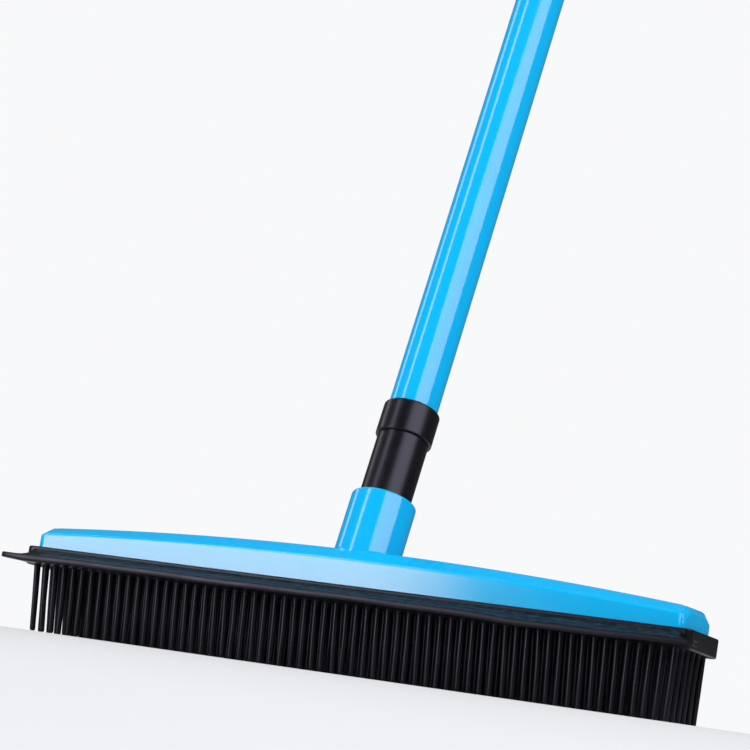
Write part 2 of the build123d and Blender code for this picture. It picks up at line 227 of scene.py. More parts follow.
@dataclass(frozen=True)
class Finish:
    """A surface finish: colours, gloss and the texture of its skin."""

    slot: Slot
    colour: Colour
    shade: Colour               # the mottled second colour
    worn: Colour                # colour in a scuff
    rough_low: float
    rough_high: float
    grain_scale: float          # cells per metre
    grain_depth: float          # metres
    mottle_scale: float = 30.0
    scuff_scale: float = 60.0
    scuff_amount: float = 0.3
    dust: Colour = (0.55, 0.53, 0.50)
    dust_amount: float = 0.1
    metallic: float = 0.0
    ior: float = 1.5
    gleam: Colour = (1.0, 1.0, 1.0)      # colour of its reflections seen square on

    def material(self, effects: EffectLibrary) -> bpy.types.Material:
        """Builds the finish as a node material.

        Args:
            effects: the shared node groups.

        Returns:
            The new material.
        """
        made = bpy.data.materials.new(self.slot.value + "_finish")
        made.use_nodes = True
        made.diffuse_color = (*self.colour, 1.0)
        nodes, links = made.node_tree.nodes, made.node_tree.links
        shader = nodes["Principled BSDF"]
        shader.inputs["Metallic"].default_value = self.metallic
        shader.inputs["IOR"].default_value = self.ior
        shader.inputs["Specular Tint"].default_value = (*self.gleam, 1.0)

        def place(effect: Effect, **values: float) -> bpy.types.ShaderNode:
            """Puts one shared effect into the material.

            Args:
                effect: the effect wanted.
                **values: values of its inputs.

            Returns:
                The new group node.
            """
            node = nodes.new("ShaderNodeGroup")
            node.node_tree = effects.get(effect)
            for label, value in values.items():
                node.inputs[label].default_value = value
            return node

        def tint(under, mask, over: Colour):
            """Lays a colour over another one.

            Args:
                under: the lower colour, as a value or as an output.
                mask: output that says where the upper one shows.
                over: the upper colour.

            Returns:
                The output with the mixed colour.
            """
            mix = nodes.new("ShaderNodeMix")
            mix.data_type = "RGBA"
            links.new(mask, mix.inputs["Factor"])
            if isinstance(under, tuple):
                mix.inputs["A"].default_value = (*under, 1.0)
            else:
                links.new(under, mix.inputs["A"])
            mix.inputs["B"].default_value = (*over, 1.0)
            return mix.outputs["Result"]

        mottle = place(Effect.MOTTLE, Scale=self.mottle_scale).outputs["Mask"]
        scuffs = place(Effect.SCUFFS, Scale=self.scuff_scale, Amount=self.scuff_amount).outputs["Mask"]
        dust = place(Effect.DUST, Scale=420.0, Amount=self.dust_amount).outputs["Mask"]
        grain = place(Effect.GRAIN, Scale=self.grain_scale).outputs["Height"]
        colour = tint(self.colour, mottle, self.shade)
        colour = tint(colour, scuffs, self.worn)
        colour = tint(colour, dust, self.dust)
        links.new(colour, shader.inputs["Base Color"])

        gloss = nodes.new("ShaderNodeMapRange")
        gloss.inputs["To Min"].default_value = self.rough_low
        gloss.inputs["To Max"].default_value = self.rough_high
        rubbed = nodes.new("ShaderNodeMath")
        rubbed.operation = "MULTIPLY_ADD"
        rubbed.inputs[1].default_value = 0.25
        links.new(mottle, gloss.inputs["Value"])
        links.new(scuffs, rubbed.inputs[0])
        links.new(gloss.outputs["Result"], rubbed.inputs[2])
        links.new(rubbed.outputs["Value"], shader.inputs["Roughness"])

        bump = nodes.new("ShaderNodeBump")
        bump.inputs["Strength"].default_value = 1.0
        bump.inputs["Distance"].default_value = self.grain_depth
        links.new(grain, bump.inputs["Height"])
        links.new(bump.outputs["Normal"], shader.inputs["Normal"])
        return made


FINISHES: tuple[Finish, ...] = (
    Finish(Slot.BLUE_PLASTIC, (0.0008, 0.370, 0.715), (0.0008, 0.358, 0.70), (0.03, 0.40, 0.72),
           0.10, 0.14, 1500.0, 0.0000030, mottle_scale=22.0, scuff_amount=0.10,
           dust_amount=0.04, gleam=(1.0, 0.74, 0.46)),
    Finish(Slot.BLUE_PAINT, (0.0008, 0.370, 0.715), (0.0008, 0.361, 0.705), (0.03, 0.40, 0.72),
           0.10, 0.14, 700.0, 0.0000040, mottle_scale=14.0, scuff_amount=0.10,
           dust_amount=0.03, gleam=(1.0, 0.74, 0.46)),
    Finish(Slot.BLACK_RUBBER, (0.0022, 0.0022, 0.0032), (0.0036, 0.0036, 0.0050),
           (0.012, 0.012, 0.014),
           0.30, 0.38, 2200.0, 0.0000100, mottle_scale=60.0, scuff_scale=110.0, scuff_amount=0.25,
           dust_amount=0.05, ior=1.36, gleam=(0.60, 0.58, 0.76)),
    Finish(Slot.BLACK_PLASTIC, (0.0024, 0.0022, 0.0034), (0.0034, 0.0032, 0.0046),
           (0.010, 0.010, 0.012),
           0.28, 0.34, 2600.0, 0.0000080, mottle_scale=40.0, scuff_amount=0.15, dust_amount=0.03,
           ior=1.48, gleam=(0.54, 0.53, 0.70)),
    Finish(Slot.GREY_PLASTIC, (0.10, 0.105, 0.12), (0.12, 0.125, 0.14), (0.17, 0.175, 0.19),
           0.42, 0.55, 1800.0, 0.0000150, dust_amount=0.20),
    Finish(Slot.WHITE_NYLON, (0.62, 0.61, 0.57), (0.66, 0.65, 0.62), (0.50, 0.49, 0.45),
           0.35, 0.45, 1500.0, 0.0000100, dust_amount=0.12),
    Finish(Slot.ZINC_STEEL, (0.52, 0.54, 0.57), (0.46, 0.48, 0.52), (0.34, 0.34, 0.35),
           0.26, 0.42, 2400.0, 0.0000080, scuff_amount=0.45, dust_amount=0.08, metallic=1.0),
)


# ---------------------------------------------------------------- shop tools


@dataclass
class Shop:
    """What every sub-assembly needs: materials and the two work frames."""

    materials: dict[Slot, bpy.types.Material]
    head: Matrix
    handle: Matrix

    def finish(self, bm: bmesh.types.BMesh, name: str, place: Matrix, slot: Slot, body: str,
               stands_for: Sequence[str] = (), sharp: float = 38.0,
               weighted: bool = False) -> bpy.types.Object:
        """Turns a drawn shape into a placed, dressed piece.

        Args:
            bm: the shape, in millimetres; it is freed.
            name: the piece's name.
            place: where its frame sits in the row frame, in metres.
            slot: its material slot.
            body: the body it rides on.
            stands_for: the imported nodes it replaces.
            sharp: edges that turn more than this, in degrees, stay sharp.
            weighted: whether its normals favour the large faces.

        Returns:
            The piece.
        """
        bmesh.ops.remove_doubles(bm, verts=bm.verts, dist=0.0005)
        bmesh.ops.recalc_face_normals(bm, faces=bm.faces)
        bmesh.ops.transform(bm, matrix=place @ Matrix.Scale(MM, 4), verts=bm.verts)
        for face in bm.faces:
            face.smooth = True
        mesh = bpy.data.meshes.new(name)
        bm.to_mesh(mesh)
        bm.free()
        mesh.set_sharp_from_angle(angle=math.radians(sharp))
        piece = bpy.data.objects.new(name, mesh)
        bpy.context.scene.collection.objects.link(piece)
        mesh.materials.append(self.materials[slot])
        if weighted:
            even = piece.modifiers.new("even_normals", "WEIGHTED_NORMAL")
            even.keep_sharp = True
        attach(piece, body)
        if stands_for:
            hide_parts(*stands_for)
        LOG.info("%s: %d faces on %s", name, len(mesh.polygons), body)
        return piece

    def dress_node(self, node: str, slot: Slot) -> None:
        """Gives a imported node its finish."""
        target = frame["nodes"][node]
        target.data.materials.clear()
        target.data.materials.append(self.materials[slot])
        LOG.info("%s: dressed in %s", node, slot.value)


def turned(profile: Profile, segments: int = 96, closed: bool = True) -> bmesh.types.BMesh:
    """Turns a profile about the Z axis.

    Args:
        profile: (radius, height) points.
        segments: faces round the axis.
        closed: whether the last point joins the first, as on a ring.

    Returns:
        The turned shape.
    """
    bm = bmesh.new()
    line = [bm.verts.new((radius, 0.0, height)) for radius, height in profile]
    edges = [bm.edges.new(pair) for pair in zip(line, line[1:])]
    if closed:
        edges.append(bm.edges.new((line[-1], line[0])))
    bmesh.ops.spin(bm, geom=line + edges, cent=(0, 0, 0), axis=(0, 0, 1), dvec=(0, 0, 0),
                   angle=math.tau, steps=segments, use_merge=True, use_duplicate=False)
    bmesh.ops.remove_doubles(bm, verts=bm.verts, dist=0.0005)
    bmesh.ops.recalc_face_normals(bm, faces=bm.faces)
    return bm


def round_edges(bm: bmesh.types.BMesh, edges: Iterable[bmesh.types.BMEdge], width: float,
                segments: int) -> None:
    """Rounds edges of a shape with an even arc."""
    bmesh.ops.bevel(bm, geom=list(edges), offset=width, offset_type="OFFSET", segments=segments,
                    profile=0.5, affect="EDGES", clamp_overlap=True, material=-1)


def rings_at(bm: bmesh.types.BMesh, radius: float, height: float) -> list[bmesh.types.BMEdge]:
    """Edges of the turned ring at a radius and height."""
    return [e for e in bm.edges if all(
        abs(v.co.z - height) < 0.01 and abs(math.hypot(v.co.x, v.co.y) - radius) < 0.02
        for v in e.verts)]


def prism(section: Profile, half: float, step: float) -> bmesh.types.BMesh:
    """Draws a bar of one (Y, Z) section along X, cut into even stations.

    Args:
        section: corners of the section in order.
        half: half the bar's length.
        step: distance between stations.

    Returns:
        The bar, closed at both ends.
    """
    bm = bmesh.new()
    end = bm.faces.new([bm.verts.new((-half, y, z)) for y, z in section])
    grown = bmesh.ops.extrude_face_region(bm, geom=[end])
    moved = [g for g in grown["geom"] if isinstance(g, bmesh.types.BMVert)]
    bmesh.ops.translate(bm, verts=moved, vec=(2 * half, 0, 0))
    bmesh.ops.holes_fill(bm, edges=[e for e in bm.edges if e.is_boundary], sides=0)
    count = max(1, round(2 * half / step))
    for i in range(1, count):
        bmesh.ops.bisect_plane(bm, geom=bm.verts[:] + bm.edges[:] + bm.faces[:],
                               plane_co=(-half + 2 * half * i / count, 0, 0), plane_no=(1, 0, 0))
    bmesh.ops.recalc_face_normals(bm, faces=bm.faces)
    return bm


def smooth(value: float, low: float, high: float) -> float:
    """Smooth step from 0 at low to 1 at high."""
    t = min(1.0, max(0.0, (value - low) / (high - low)))
    return t * t * (3.0 - 2.0 * t)


# ---------------------------------------------------------------- head


@dataclass
class Housing:
    """Glossy crowned housing with a bevel along each long edge."""

    half: float = 154.0
    half_depth: float = 17.0
    foot: float = 37.6
    crown_mid: float = 53.7
    crown_end: float = 47.2
    crease_mid: float = 48.9
    crease_end: float = 43.6
    bevel_in: float = 8.0
    end_round: float = 3.3
    wall: float = 2.4

    def ridge(self, x: float) -> float:
        """Height of the flat crown at a distance along the head."""
        return self.crown_mid - (self.crown_mid - self.crown_end) * (x / self.half) ** 2

    def crease(self, x: float) -> float:
        """Height of the edge between the upright face and the bevel."""
        return self.crease_mid - (self.crease_mid - self.crease_end) * (x / self.half) ** 2

    def top(self, x: float, y: float) -> float:
        """Height of the upper skin over a point of the head."""
        inner = self.half_depth - self.bevel_in
        share = min(1.0, max(0.0, (abs(y) - inner) / self.bevel_in))
        return self.ridge(x) * (1 - share) + self.crease(x) * share

    def build(self, shop: Shop) -> None:
        """Builds and dresses the housing.

        Args:
            shop: materials and work frames.
        """
        inner = self.half_depth - self.bevel_in
        marker_crease, marker_ridge = 60.0, 70.0
        bm = prism([(-self.half_depth, self.foot), (-self.half_depth, marker_crease),
                    (-inner, marker_ridge), (inner, marker_ridge),
                    (self.half_depth, marker_crease), (self.half_depth, self.foot)],
                   self.half, 5.5)
        for vert in bm.verts:
            if vert.co.z > marker_ridge - 1:
                vert.co.z = self.ridge(vert.co.x)
            elif vert.co.z > marker_crease - 1:
                vert.co.z = self.crease(vert.co.x)
        ends = [e for e in bm.edges
                if all(abs(abs(v.co.x) - self.half) < 0.01 for v in e.verts)
                and max(v.co.z for v in e.verts) > self.foot + 1]
        round_edges(bm, ends, self.end_round, 6)
        long_edges = [e for e in bm.edges
                      if abs(e.verts[0].co.x - e.verts[1].co.x) > 1.0
                      and min(v.co.z for v in e.verts) > self.foot + 1
                      and e.is_manifold and e.calc_face_angle(0.0) > math.radians(12)]
        round_edges(bm, long_edges, 1.1, 3)
        under = [f for f in bm.faces if all(abs(v.co.z - self.foot) < 0.01 for v in f.verts)]
        bmesh.ops.inset_region(bm, faces=under, thickness=self.wall, use_even_offset=True)
        lifted = {v for f in under for v in f.verts}
        bmesh.ops.translate(bm, verts=list(lifted), vec=(0, 0, 5.2))
        shop.finish(bm, "housing_shell", shop.head, Slot.BLUE_PLASTIC, "head",
                    ["head_housing"], sharp=50.0, weighted=True)


@dataclass
class Socket:
    """Leaning socket that stands on the crown, with a small fillet at its foot."""

    radius: float = 14.5
    foot: float = 2.0
    top: float = 38.6
    floor: float = 5.0
    bore: float = 10.2
    seal_radius: float = 12.6
    seal_depth: float = 3.0
    edge_round: float = 0.9

    def build(self, shop: Shop, housing: Housing) -> None:
        """Builds and dresses the socket and the fillet at its foot.

        Args:
            shop: materials and work frames.
            housing: the housing it stands on.
        """
        shelf = self.top - self.seal_depth
        bm = turned([(0, self.foot), (self.radius, self.foot), (self.radius, self.top),
                     (self.seal_radius, self.top), (self.seal_radius, shelf), (self.bore, shelf),
                     (self.bore, self.floor), (0, self.floor)], 128, closed=False)
        round_edges(bm, rings_at(bm, self.radius, self.top), self.edge_round, 4)
        round_edges(bm, rings_at(bm, self.seal_radius, self.top), 0.35, 2)
        shop.finish(bm, "socket_tube", shop.handle, Slot.BLUE_PLASTIC, "head",
                    ["handle_socket"], weighted=True)
        self._flared_foot(shop, housing)

    def _flared_foot(self, shop: Shop, housing: Housing) -> None:
        """Builds the small concave fillet that blends the socket into the crown."""
        skin = self.radius - 0.12
        bm = turned([(skin, 0.95), (skin + 0.16, 0.45), (skin + 0.42, 0.16), (skin + 0.85, -0.03),
                     (skin + 0.85, -0.6), (skin, -0.6)], 160)
        to_head = shop.head.inverted() @ shop.handle
        turn = to_head.to_3x3()
        axis = (turn @ Vector((0, 0, 1))).normalized()
        foot = to_head.translation / MM
        for vert in bm.verts:
            side = Vector((vert.co.x, vert.co.y, 0))
            along = 8.0
            for _ in range(8):
                point = foot + axis * along + turn @ side
                along += (housing.top(point.x, point.y) - point.z) / axis.z
            if abs(point.y) > 15.0:
                side = side.normalized() * (skin - 0.3)
            vert.co = Vector((side.x, side.y, along + vert.co.z))
        shop.finish(bm, "socket_flare", shop.handle, Slot.BLUE_PLASTIC, "head", sharp=60.0)


@dataclass
class BrushMoulding:
    """Rubber rim and sheet under the housing, with the squeegee edge in front."""

    half: float = 158.0
    half_depth: float = 18.6
    low: float = 29.3
    high: float = 37.6
    sheet: float = 30.2
    corner: float = 2.8
    blade_reach: float = 11.0
    blade_past: float = 5.2
    taper_start: float = 148.0  # where the blade's ends begin to draw in
    thin_low: float = 30.6      # underside of the thin flap past the rim
    thin_high: float = 32.6     # and its upper side

    def wave(self, x: float) -> float:
        """How far the soft blade tip stands off its straight line."""
        drift = 0.16 * math.sin(x / 19.0 + 1.0) + 0.09 * math.sin(x / 7.3)
        sag = -0.75 * smooth(x, 66.0, 92.0) * (1.0 - smooth(x, 110.0, 158.0))
        return drift + sag + 0.25 * (1.0 - (x / self.half) ** 2)

    def build(self, shop: Shop) -> None:
        """Builds and dresses the rim and the squeegee blade.

        Args:
            shop: materials and work frames.
        """
        self._rim(shop)
        self._blade(shop)

    def _rim(self, shop: Shop) -> None:
        """Builds the rim block with its rounded corners, lip and pocket."""
        bm = bmesh.new()
        size = Matrix.Diagonal((2 * self.half, 2 * self.half_depth, self.high - self.low, 1.0))
        middle = Matrix.Translation((0, 0, (self.high + self.low) / 2))
        bmesh.ops.create_cube(bm, size=1.0, matrix=middle @ size)
        uprights = [e for e in bm.edges if abs(e.verts[0].co.z - e.verts[1].co.z) > 1]
        round_edges(bm, uprights, self.corner, 8)
        rims = [e for e in bm.edges if e.is_manifold and abs(e.verts[0].co.z - e.verts[1].co.z) < 0.01
                and e.calc_face_angle(0.0) > 1.2]
        round_edges(bm, rims, 0.8, 3)
        for height, depth, inset in ((self.low, self.sheet - self.low, 1.0), (self.high, -2.2, 5.4)):
            flat = [f for f in bm.faces if all(abs(v.co.z - height) < 0.01 for v in f.verts)]
            bmesh.ops.inset_region(bm, faces=flat, thickness=inset, use_even_offset=True)
            sunk = {v for f in flat for v in f.verts}
            bmesh.ops.translate(bm, verts=list(sunk), vec=(0, 0, depth))
        shop.finish(bm, "rubber_rim", shop.head, Slot.BLACK_RUBBER, "head", sharp=50.0, weighted=True)

    def _blade(self, shop: Shop) -> None:
        """Builds the squeegee blade with its concave upper side and wavy tip."""
        front = -self.half_depth
        tip = front - self.blade_reach
        section = [
            (front + 5.0, 36.6), (front + 2.4, 36.6), (front + 0.5, 36.6), (front - 0.5, 36.1),
            (front - 1.3, 35.2), (front - 2.6, 34.4), (front - 4.6, 33.75), (front - 7.2, 33.2),
            (tip + 1.2, 32.75), (tip + 0.55, 32.6), (tip + 0.15, 32.3), (tip, 31.9), (tip, 30.5),
            (tip + 0.15, 30.05), (tip + 0.55, 29.75), (tip + 1.4, 29.65), (front - 4.0, 29.5),
            (front + 0.5, 29.5), (front + 2.4, 29.6), (front + 5.0, 29.6)]
        whole = self.half + self.blade_past
        bm = prism(section, whole, 3.0)
        start = self.taper_start
        for vert in bm.verts:
            x, y, z = vert.co
            weight = smooth(front + 1.0 - y, 0.0, self.blade_reach)
            past = smooth(abs(x), 154.5, 158.5)
            if z > self.thin_high:
                z = self.thin_high + (z - self.thin_high) * (1.0 - past)
            elif z < self.thin_low:
                z += (self.thin_low - z) * 0.6 * past
            vert.co.z = z + self.wave(x) * weight
            if abs(x) > start:
                limit = whole - (self.blade_past + 0.6) * smooth(y, front - 3.2, front + 4.6)
                share = (abs(x) - start) / (whole - start)
                vert.co.x = math.copysign(start + share * (limit - start), x)
        ends = [e for e in bm.edges if e.is_manifold and e.calc_face_angle(0.0) > 1.0
                and all(abs(v.co.x) > start for v in e.verts)
                and any(v.co.y < front - 2.0 for v in e.verts)]
        round_edges(bm, ends, 0.45, 2)
        shop.finish(bm, "squeegee_edge", shop.head, Slot.BLACK_RUBBER, "head",
                    ["squeegee_blade"], sharp=55.0)


@dataclass
class Bristles:
    """Straight rows and columns of soft tapered rubber bristles."""

    pitch: float = 4.9
    count: int = 63
    rows: int = 6
    row_pitch: float = 6.72
    length: float = 30.2
    root: float = 1.45
    tip: float = 1.25
    comb: float = 2.4           # how far the tips stand over to the right
    comb_end: float = 1.2       # and how much further at the left end
    spread: float = 0.26        # how unevenly they stand along the row
    seed: int = 11

    def spots(self) -> list[tuple[float, float]]:
        """Where the bristles grow, row by row."""
        return [((i - (self.count - 1) / 2) * self.pitch, (row - (self.rows - 1) / 2) * self.row_pitch)
                for row in range(self.rows) for i in range(self.count)]

    def combed(self, x: float) -> float:
        """How far the tip of a bristle at a distance along the head stands over."""
        whole = self.comb * (1.0 - smooth(x, 105.0, 154.0))
        return whole + self.comb_end * (1.0 - smooth(x, -154.0, -125.0))

    def build(self, shop: Shop) -> None:
        """Builds and dresses the whole field of bristles.

        Args:
            shop: materials and work frames.
        """
        one = turned([(0, self.length + 0.6), (self.root + 0.30, self.length + 0.4),
                      (self.root + 0.02, self.length - 1.6), (self.root, self.length - 3.0),
                      (self.root * 0.55 + self.tip * 0.45, 15.0), (self.tip, 0.9),
                      (self.tip * 0.88, 0.22), (self.tip * 0.5, 0.0), (0, 0.0)],
                     12, closed=False)
        pattern = bpy.data.meshes.new("one_bristle")
        one.to_mesh(pattern)
        one.free()
        rng = random.Random(self.seed)
        bm = bmesh.new()
        for x, y in self.spots():
            before = len(bm.verts)
            bm.from_mesh(pattern)
            bm.verts.ensure_lookup_table()
            side = min(1.0, abs(x) / (self.count * self.pitch / 2))
            combed = self.combed(x)
            lean = Vector((rng.gauss(0, self.spread * (1.0 - side ** 12)), rng.gauss(0, 0.2), 0))
            bow = Vector((rng.gauss(0, 0.12), rng.gauss(0, 0.15), 0))
            turn = Matrix.Rotation(rng.uniform(0, math.tau), 3, "Z")
            short = rng.uniform(0.0, 0.15)
            for vert in bm.verts[before:]:
                t = (self.length - vert.co.z) / self.length
                vert.co = turn @ vert.co
                vert.co += lean * t * t + bow * math.sin(math.pi * max(0.0, min(1.0, t)))
                vert.co += Vector((x + combed * max(0.0, t), y, short * max(0.0, t)))
        bpy.data.meshes.remove(pattern)
        shop.finish(bm, "rubber_bristles", shop.head, Slot.BLACK_RUBBER, "head",
                    ["rubber_brush"], sharp=60.0)


# ---------------------------------------------------------------- handle


@dataclass
class Stem:
    """Screw-in black stem with its collar."""

    thread_foot: float = 8.0
    thread_top: float = 34.0
    thread_radius: float = 10.1
    core_radius: float = 9.2
    thread_pitch: float = 5.0
    shoulder: float = 38.2
    radius: float = 11.5
    tube_foot: float = 72.0
    plug_radius: float = 10.05
    plug_top: float = 112.0
    bore: float = 6.5
    collar_radius: float = 12.7
    collar_foot: float = 68.4
    collar_top: float = 83.7

    def build(self, shop: Shop) -> None:
        """Builds and dresses the stem, its thread and the collar.

        Args:
            shop: materials and work frames.
        """
        bm = turned([(self.bore, self.thread_foot), (self.core_radius, self.thread_foot),
                     (self.core_radius, self.shoulder - 0.8), (self.radius - 0.5, self.shoulder),
                     (self.radius, self.shoulder + 0.6), (self.radius, self.tube_foot),
                     (self.plug_radius, self.tube_foot), (self.plug_radius, self.plug_top),
                     (self.bore, self.plug_top)], 112)
        round_edges(bm, rings_at(bm, self.core_radius, self.thread_foot), 0.8, 3)
        shop.finish(bm, "stem_body", shop.handle, Slot.BLACK_PLASTIC, "handle",
                    ["handle_stem"], weighted=True)
        self._thread(shop)
        collar = turned([(self.radius, self.collar_foot), (self.collar_radius, self.collar_foot),
                         (self.collar_radius, self.collar_top), (11.02, self.collar_top),
                         (11.02, self.tube_foot), (self.radius, self.tube_foot)], 128)
        round_edges(collar, rings_at(collar, self.collar_radius, self.collar_foot), 0.7, 4)
        round_edges(collar, rings_at(collar, self.collar_radius, self.collar_top), 1.1, 5)
        shop.finish(collar, "collar_sleeve", shop.handle, Slot.BLACK_PLASTIC, "handle",
                    ["stem_collar"], weighted=True)

    def _thread(self, shop: Shop) -> None:
        """Builds the coarse thread ridge by a screw sweep of its section."""
        bm = bmesh.new()
        turns = (self.thread_top - self.thread_foot - 3.0) / self.thread_pitch
        steps = round(48 * turns)
        low = self.thread_foot + 1.0
        section = [bm.verts.new((r, 0, z)) for r, z in (
            (self.core_radius - 0.3, low), (self.thread_radius, low + 0.8),
            (self.thread_radius, low + 1.3), (self.core_radius - 0.3, low + 2.1))]
        face = bm.faces.new(section)
        bmesh.ops.spin(bm, geom=[face], cent=(0, 0, 0), axis=(0, 0, 1),
                       dvec=(0, 0, self.thread_pitch * turns / steps), angle=math.tau * turns,
                       steps=steps, use_merge=False, use_duplicate=False)
        bmesh.ops.holes_fill(bm, edges=[e for e in bm.edges if e.is_boundary], sides=0)
        shop.finish(bm, "stem_thread", shop.handle, Slot.BLACK_PLASTIC, "handle", sharp=30.0)


@dataclass
class LowerTube:
    """Painted outer tube."""

    radius: float = 11.0
    bore: float = 10.1
    foot: float = 72.0
    top: float = 600.0

    def build(self, shop: Shop) -> None:
        """Builds and dresses the tube.

        Args:
            shop: materials and work frames.
        """
        bm = turned([(self.bore, self.foot), (self.radius, self.foot), (self.radius, self.top),
                     (self.bore, self.top)], 144)
        for height in (self.foot, self.top):
            round_edges(bm, rings_at(bm, self.radius, height), 0.25, 2)
        shop.finish(bm, "outer_tube", shop.handle, Slot.BLUE_PAINT, "handle",
                    ["lower_tube"], weighted=True)


@dataclass
class TwistLock:
    """Lock body on the outer tube and the grooved nut over its neck."""

    sleeve_foot: float = 574.0
    tube_top: float = 600.0
    sleeve_radius: float = 12.6
    tube_radius: float = 11.0
    slide_bore: float = 9.08
    neck_radius: float = 11.6
    neck_top: float = 624.0
    nut_radius: float = 14.0
    nut_foot: float = 601.6
    nut_length: float = 42.0
    nut_mouth: float = 9.4
    grooves: int = 24
    groove_depth: float = 0.75

    def build(self, shop: Shop) -> None:
        """Builds and dresses the lock body and its nut.

        Args:
            shop: materials and work frames.
        """
        ledge = self.tube_top + 1.2
        bm = turned([(self.tube_radius, self.sleeve_foot), (self.sleeve_radius, self.sleeve_foot),
                     (self.sleeve_radius, ledge), (self.neck_radius, ledge),
                     (self.neck_radius, self.neck_top), (self.slide_bore, self.neck_top),
                     (self.slide_bore, self.tube_top), (self.tube_radius, self.tube_top)], 96)
        round_edges(bm, rings_at(bm, self.sleeve_radius, self.sleeve_foot), 0.8, 4)
        round_edges(bm, rings_at(bm, self.sleeve_radius, ledge), 0.4, 2)
        shop.finish(bm, "lock_sleeve", shop.handle, Slot.BLACK_PLASTIC, "handle",
                    ["lock_body"], weighted=True)
        self._nut(shop)

    def _nut(self, shop: Shop) -> None:
        """Builds the nut with its finger grooves and tapered crown."""
        foot, inner = self.nut_foot, self.neck_radius + 0.08
        shoulder, top = self.neck_top + 8.0, self.nut_foot + self.nut_length
        crown = self.nut_radius - (top - shoulder) * math.tan(math.radians(8.0))
        heights = [foot, foot + 1.0, foot + 2.6, foot + 4.2]
        heights += [foot + 4.2 + i * 3.1 for i in range(1, 6)]
        heights += [self.neck_top + 0.4, self.neck_top + 2.0, shoulder]
        wall = [(self.nut_radius, h) for h in heights]
        bm = turned([(inner, foot)] + wall + [(crown, top), (self.nut_mouth, top),
                    (self.nut_mouth, shoulder), (inner, shoulder)], self.grooves * 10)
        for vert in bm.verts:
            radius = math.hypot(vert.co.x, vert.co.y)
            if radius > self.nut_radius - 0.1:
                share = smooth(vert.co.z, foot + 1.0, foot + 4.2)
                share *= 1.0 - smooth(vert.co.z, self.neck_top - 1.0, self.neck_top + 2.0)
                angle = math.atan2(vert.co.y, vert.co.x) * self.grooves
                cut = self.groove_depth * share * max(0.0, math.cos(angle)) ** 1.5
                vert.co.xy *= (radius - cut) / radius
        round_edges(bm, rings_at(bm, self.nut_radius, foot), 0.5, 3)
        round_edges(bm, rings_at(bm, crown, top), 0.9, 4)
        shop.finish(bm, "grooved_nut", shop.handle, Slot.BLACK_PLASTIC, "lock",
                    ["lock_nut"], sharp=45.0)


@dataclass
class Extension:
    """Sliding inner tube with its ribbed grip."""

    radius: float = 9.0
    bore: float = 8.2
    foot: float = 132.0
    top: float = 830.0
    grip_radius: float = 13.0
    grip_foot: float = 712.0
    grip_top: float = 822.0
    rib_pitch: float = 7.0

    def build(self, shop: Shop) -> None:
        """Builds and dresses the inner tube and the grip.

        Args:
            shop: materials and work frames.
        """
        bm = turned([(self.bore, self.foot), (self.radius, self.foot), (self.radius, self.top),
                     (self.bore, self.top)], 120)
        shop.finish(bm, "inner_tube", shop.handle, Slot.BLUE_PAINT, "extension",
                    ["upper_tube"], weighted=True)
        wall: list[tuple[float, float]] = [(self.radius, self.grip_foot)]
        wall += [(self.grip_radius - 1.4, self.grip_foot),
                 (self.grip_radius - 0.4, self.grip_foot + 0.45),
                 (self.grip_radius, self.grip_foot + 1.5)]
        dip = ((-1.3, 0.0), (-0.8, 0.28), (-0.35, 0.62), (0.35, 0.62), (0.8, 0.28), (1.3, 0.0))
        groove = self.grip_foot + 8.0
        while groove < self.grip_top - 6.0:
            for across, deep in dip:
                wall.append((self.grip_radius - deep, groove + across))
            groove += self.rib_pitch
        wall += [(self.grip_radius, self.grip_top - 0.2), (self.grip_radius - 0.2, self.grip_top),
                 (self.radius, self.grip_top)]
        grip = turned(wall, 96)
        shop.finish(grip, "ribbed_grip", shop.handle, Slot.BLACK_PLASTIC, "extension",
                    ["grip"], sharp=45.0)


# ---------------------------------------------------------------- studio


@dataclass(frozen=True)
class Panel:
    """A flat studio light that faces the broom."""

    name: str
    azimuth: float      # degrees from the front towards +X
    elevation: float
    distance: float
    width: float
    height: float
    radiance: float
    mirrored: bool = True       # whether glossy faces show it

    def build(self, target: Vector) -> None:
        """Hangs the light so that it faces the target."""
        az, el = math.radians(self.azimuth), math.radians(self.elevation)
        out = Vector((math.sin(az) * math.cos(el), -math.cos(az) * math.cos(el), math.sin(el)))
        data = bpy.data.lights.new(self.name, "AREA")
        data.shape = "RECTANGLE"
        data.size, data.size_y = self.width, self.height
        data.energy = self.radiance * math.pi * self.width * self.height
        lamp = bpy.data.objects.new(self.name, data)
        lamp.visible_glossy = self.mirrored
        lamp.location = target + out * self.distance
        lamp.rotation_euler = (-out).to_track_quat("-Z", "Y").to_euler()
        bpy.context.scene.collection.objects.link(lamp)


